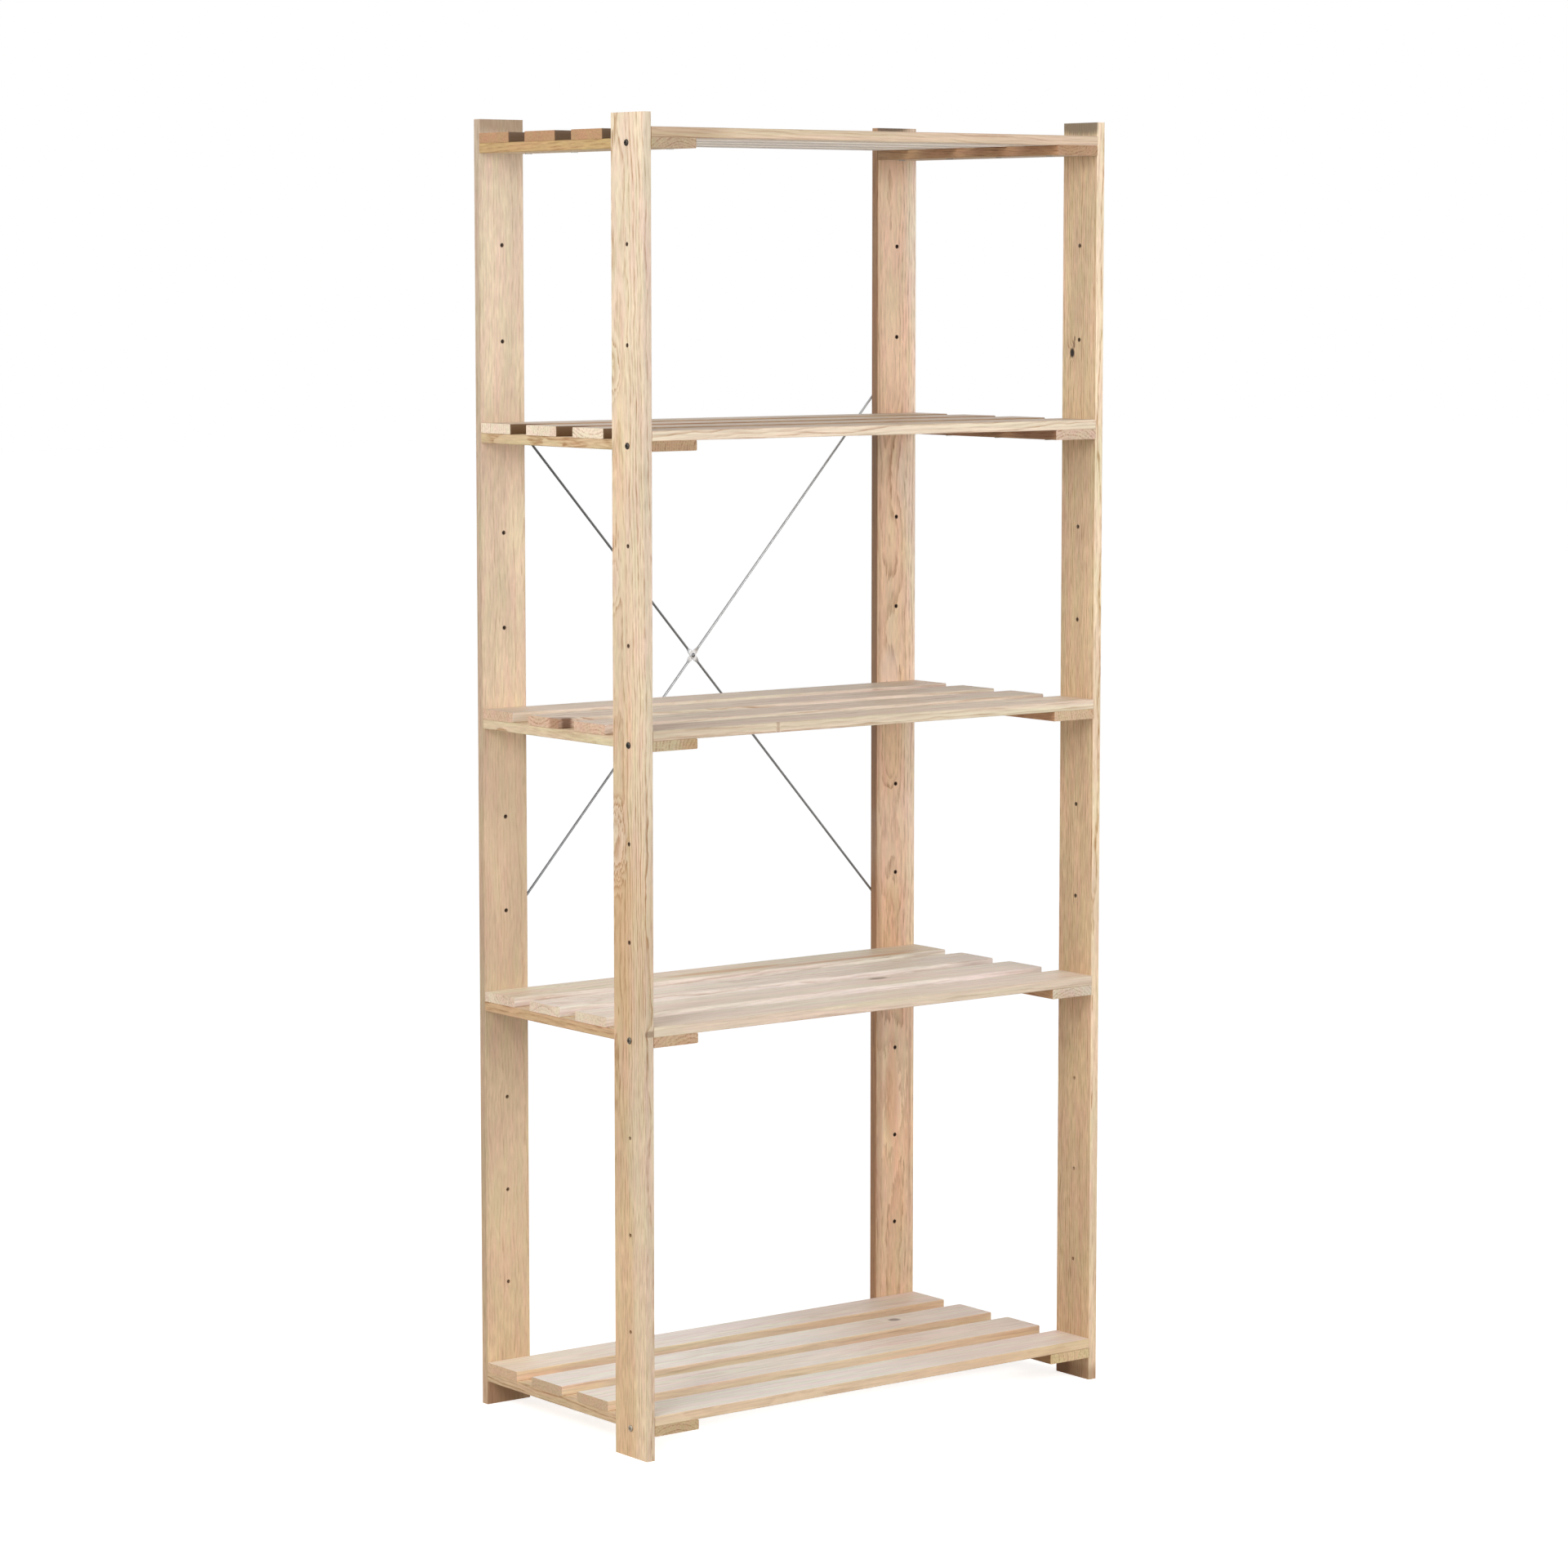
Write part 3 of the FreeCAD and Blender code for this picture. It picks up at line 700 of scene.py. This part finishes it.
# Screws and rivet: sizes in mm, turned about Z and then set on their seats
screwShapes = {
    "shelf": {
        "crest": 2.25, "core": 1.6, "neck": 1.95, "pitch": 2.2, "plainNeck": 11.0, "tip": 6.0,
        "recessReach": 2.4, "recessArm": 0.6, "recessDepth": 1.5,
    },
    "brace": {
        "head": 3.5, "headHeight": 2.0,
        "crest": 1.5, "core": 1.05, "neck": 1.3, "pitch": 1.4, "plainNeck": 2.6, "tip": 3.0,
        "recessReach": 1.9, "recessArm": 0.5, "recessDepth": 1.2,
    },
}
screwGrid = {
    "columns": 48, "rowsPerTurn": 6, "rimRows": 8, "crownRows": 20,
    "ridgeHalf": 0.32,          # half width of the thread's ridge, in pitches
    "tipEnd": 0.06,             # how far into the tip its blunt end lies
    "tipCurve": 0.7,            # 1 would be a straight cone
    "rimSweep": (0.04, 0.95),   # from the underside round the head's side, radians
    "crownEnd": 0.03,           # radius of the crown's last ring against the head's
    "underside": 0.97,          # radius of the underside against the head's
    "recessWall": 0.3,          # slope of the recess's walls, mm
}
sharpAngle = 40.0               # between faces that meet in a sharp edge, degrees


def panHeadScrew(shape, head, headHeight, length):
    # Rows of rings from the tip up, head outwards along Z, underside of the head at 0. The shank is a core
    # with a ridge that climbs one pitch in each turn and narrows to the tip. The head's side and crown follow
    # a rounded square, radius and height cubed adding up to one, and a cross is sunk into the crown.
    theta = np.linspace(0, 2 * math.pi, screwGrid["columns"], endpoint=False)
    shankRows = int(screwGrid["rowsPerTurn"] * length / shape["pitch"])
    height, angle = np.meshgrid(np.linspace(-length, 0, shankRows), theta, indexing="ij")
    turnShare = (height / shape["pitch"] - angle / (2 * math.pi)) % 1
    ridge = np.clip(1 - np.abs(turnShare - 0.5) / screwGrid["ridgeHalf"], 0, 1)
    threaded = np.clip((-shape["plainNeck"] - height) / shape["pitch"], 0, 1)
    thread = shape["core"] + (shape["crest"] - shape["core"]) * ridge
    pointed = np.clip((height + length) / shape["tip"], screwGrid["tipEnd"], 1) ** screwGrid["tipCurve"]
    shank = (threaded * thread + (1 - threaded) * shape["neck"]) * pointed

    rim = head * np.cos(np.linspace(*screwGrid["rimSweep"], screwGrid["rimRows"])) ** (2 / 3)
    crown = np.linspace(rim[-1], screwGrid["crownEnd"] * head, screwGrid["crownRows"])[1:]
    headRadius, headAngle = np.meshgrid(np.concatenate((rim, crown)), theta, indexing="ij")
    headTop = headHeight * np.cbrt(1 - (headRadius / head) ** 3)
    across, over = np.abs(headRadius * np.cos(headAngle)), np.abs(headRadius * np.sin(headAngle))
    wall = screwGrid["recessWall"]
    inArm = np.clip((shape["recessArm"] - np.minimum(across, over)) / wall + 0.5, 0, 1)
    inReach = np.clip((shape["recessReach"] - np.maximum(across, over)) / wall + 0.5, 0, 1)
    headTop = headTop - shape["recessDepth"] * inArm * inReach

    underside = np.full((1, len(theta)), head * screwGrid["underside"])
    radius = np.concatenate((shank, underside, headRadius))
    level = np.concatenate((height, underside * 0, headTop))
    turned = np.broadcast_to(theta, radius.shape)
    return np.stack((radius * np.cos(turned), radius * np.sin(turned), level), axis=-1) * mm


rivetShape = {
    "headHeight": 1.2, "shank": 1.5, "columns": 48, "domeRows": 12,
    "crownEnd": 0.04,           # angle of the dome's last ring from the axis, radians
}


def domedRivet(shape, head, halfLength):
    # Rows of rings from one crown to the other along Z: a quarter of an ellipse, the shank, the ellipse again
    theta = np.linspace(0, 2 * math.pi, shape["columns"], endpoint=False)
    sweep = np.linspace(shape["crownEnd"], math.pi / 2, shape["domeRows"])
    domeRadius = head * np.sin(sweep)
    domeLevel = halfLength - shape["headHeight"] * (1 - np.cos(sweep))
    seat = halfLength - shape["headHeight"]
    profileRadius = np.concatenate((domeRadius, [shape["shank"], shape["shank"]], domeRadius[::-1]))
    profileLevel = np.concatenate((-domeLevel, [-seat, seat], domeLevel[::-1]))
    radius, turned = np.meshgrid(profileRadius, theta, indexing="ij")
    level = np.broadcast_to(profileLevel[:, None], radius.shape)
    return np.stack((radius * np.cos(turned), radius * np.sin(turned), level), axis=-1) * mm


def turnedPiece(name, rings, outward, seats, material, node):
    # One closed surface for each seat: rings joined by quads, with a fan at either end
    rows, columns = rings.shape[:2]
    local = np.concatenate((rings.reshape(-1, 3), rings[:1].mean(axis=1), rings[-1:].mean(axis=1)))
    toFrame = np.array(outward.to_track_quat("Z", "X").to_matrix())
    points = (local @ toFrame.T)[None] + np.array(seats)[:, None]
    row, column = np.meshgrid(np.arange(rows - 1), np.arange(columns), indexing="ij")
    beside = (column + 1) % columns
    this, above = row * columns, (row + 1) * columns
    quads = np.stack((this + column, this + beside, above + beside, above + column), axis=-1).reshape(-1, 4)
    around = np.arange(columns)
    after = (around + 1) % columns
    lastRow = (rows - 1) * columns
    lowFan = np.stack((np.full(columns, rows * columns), after, around), axis=-1)
    highFan = np.stack((np.full(columns, rows * columns + 1), lastRow + around, lastRow + after), axis=-1)
    starts = np.arange(len(seats))[:, None, None] * len(local)
    faces = []
    for block in (quads, lowFan, highFan):
        faces += (block[None] + starts).reshape(-1, block.shape[1]).tolist()
    mesh = bpy.data.meshes.new(name)
    mesh.from_pydata(points.reshape(-1, 3).tolist(), [], faces)
    mesh.polygons.foreach_set("use_smooth", np.ones(len(mesh.polygons), dtype=bool))
    mesh.set_sharp_from_angle(angle=math.radians(sharpAngle))
    mesh.update()
    piece = bpy.data.objects.new(name, mesh)
    scene.collection.objects.link(piece)
    dress(piece, material)
    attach(piece, "root")
    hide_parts(node)


def shelfScrews(end, side, shelfCount):
    # heads on the outer face of the upright, one at the middle of each batten's height
    node = "shelf_screws_%s_%s" % (end, side)
    low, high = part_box(node)
    uprightLow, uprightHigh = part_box("upright_%s_%s" % (end, side))
    middle = (uprightLow + uprightHigh) / 2
    if end == "back":
        outward, face, across = Vector((0, 1, 0)), uprightHigh.y, 0
        headHeight, length = high.y - face, face - low.y
    elif side == "left":
        outward, face, across = Vector((-1, 0, 0)), uprightLow.x, 1
        headHeight, length = face - low.x, high.x - face
    else:
        outward, face, across = Vector((1, 0, 0)), uprightHigh.x, 1
        headHeight, length = high.x - face, face - low.x
    seats = []
    for number in range(1, shelfCount + 1):
        battenLow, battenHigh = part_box("shelf_%d_batten_%s" % (number, side))
        seat = middle.copy()
        seat.z = (battenLow.z + battenHigh.z) / 2
        seat[1 - across] = face
        seats.append(seat)
    head = (high[across] - low[across]) / 2
    rings = panHeadScrew(screwShapes["shelf"], head / mm, headHeight / mm, length / mm)
    turnedPiece("pan_head_" + node, rings, outward, seats, metalOf["phosphatedSteel"], node)


def braceScrews(shape):
    low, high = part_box("brace_screws")
    inset, seatLevel = shape["head"] * mm, high.y - shape["headHeight"] * mm
    seats = [
        Vector((x, seatLevel, z))
        for x in (low.x + inset, high.x - inset)
        for z in (low.z + inset, high.z - inset)
    ]
    rings = panHeadScrew(shape, shape["head"], shape["headHeight"], (seatLevel - low.y) / mm)
    turnedPiece("pan_head_brace_screws", rings, Vector((0, 1, 0)), seats,
                metalOf["zincPlatedWire"], "brace_screws")


def braceRivet(shape):
    low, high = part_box("brace_rivet")
    rings = domedRivet(shape, (high.x - low.x) / 2 / mm, (high.y - low.y) / 2 / mm)
    turnedPiece("domed_brace_rivet", rings, Vector((0, 1, 0)), [(low + high) / 2],
                metalOf["rivetSteel"], "brace_rivet")


shelfCount = sum(name.endswith("_batten_left") for name in nodes)
for end in ("front", "back"):
    for side in ("left", "right"):
        shelfScrews(end, side, shelfCount)
braceScrews(screwShapes["brace"])
braceRivet(rivetShape)
print("screws and rivet turned")


# Floor and light: a white studio, brightest near the horizon, with one softbox in front and one on the left
studio = {
    "floorSize": 60.0,
    "floorColour": "#f2f2f2",
    "floorGlow": 0.7,               # seen by the camera alone, so that the lit floor is white
    "skyHorizon": 0.85,
    "skyZenith": 0.2,
    "skyRise": (0.1, 0.75),         # upward part of the way between which the sky goes from one to the other
    "softboxes": {
        "frontBox": {"at": (0.4, -2.95, 1.5), "aim": 0.9, "size": (1.8, 1.2), "watts": 39.5},
        "leftBox": {"at": (-2.8, -0.9, 2.4), "aim": 0.8, "size": (2.0, 1.4), "watts": 55},
    },
}


def makeFloor(rig):
    # Matt white board: no shine, so that only the shadow shows on it
    half = rig["floorSize"] / 2
    corners = [(-half, -half, 0), (half, -half, 0), (half, half, 0), (-half, half, 0)]
    mesh = bpy.data.meshes.new("floor")
    mesh.from_pydata(corners, [], [(0, 1, 2, 3)])
    floor = bpy.data.objects.new("floor", mesh)
    scene.collection.objects.link(floor)
    material, tree, shader = newMaterial("matt_white_floor")
    rays = addNode(tree, "LightPath")
    glow = addNode(tree, "Math", {
        0: rays.outputs["Is Camera Ray"], 1: rig["floorGlow"],
    }, operation="MULTIPLY").outputs[0]
    tree.links.new(glow, shader.inputs["Emission Strength"])
    shader.inputs["Emission Color"].default_value = white
    shader.inputs["Base Color"].default_value = linearColour(rig["floorColour"])
    shader.inputs["Roughness"].default_value = 1.0
    shader.inputs["Specular IOR Level"].default_value = 0.0
    dress(floor, material)


def makeSky(rig):
    # plain white where it is seen, and a softer light with a bright horizon for everything else
    world = bpy.data.worlds.new("studio")
    scene.world = world
    world.use_nodes = True
    tree = world.node_tree
    tree.nodes.clear()
    rays = addNode(tree, "LightPath").outputs
    seen = rays["Is Camera Ray"]
    for kind in ("Is Glossy Ray", "Is Transmission Ray"):
        seen = addNode(tree, "Math", {0: seen, 1: rays[kind]}, operation="MAXIMUM").outputs[0]
    way = addNode(tree, "TexCoord").outputs["Generated"]
    rise = addNode(tree, "SeparateXYZ", {"Vector": way}).outputs["Z"]
    level = addNode(tree, "MapRange", {
        "Value": rise, "From Min": rig["skyRise"][0], "From Max": rig["skyRise"][1],
        "To Min": rig["skyHorizon"], "To Max": rig["skyZenith"],
    }).outputs["Result"]
    light = addNode(tree, "Background", {"Color": white, "Strength": level}).outputs[0]
    backdrop = addNode(tree, "Background", {"Color": white, "Strength": 1.0}).outputs[0]
    both = addNode(tree, "MixShader", {0: seen, 1: light, 2: backdrop}).outputs[0]
    addNode(tree, "OutputWorld", {"Surface": both})


def makeSoftbox(name, box):
    lamp = bpy.data.lights.new(name, "AREA")
    lamp.shape = "RECTANGLE"
    lamp.size, lamp.size_y = box["size"]
    lamp.energy = box["watts"]
    softbox = bpy.data.objects.new(name, lamp)
    softbox.location = box["at"]
    toAim = Vector((0, 0, box["aim"])) - softbox.location
    softbox.rotation_euler = toAim.to_track_quat("-Z", "Y").to_euler()
    scene.collection.objects.link(softbox)


makeFloor(studio)
makeSky(studio)
for name, box in studio["softboxes"].items():
    makeSoftbox(name, box)
scene.view_settings.view_transform = "Standard"
print("studio lit")
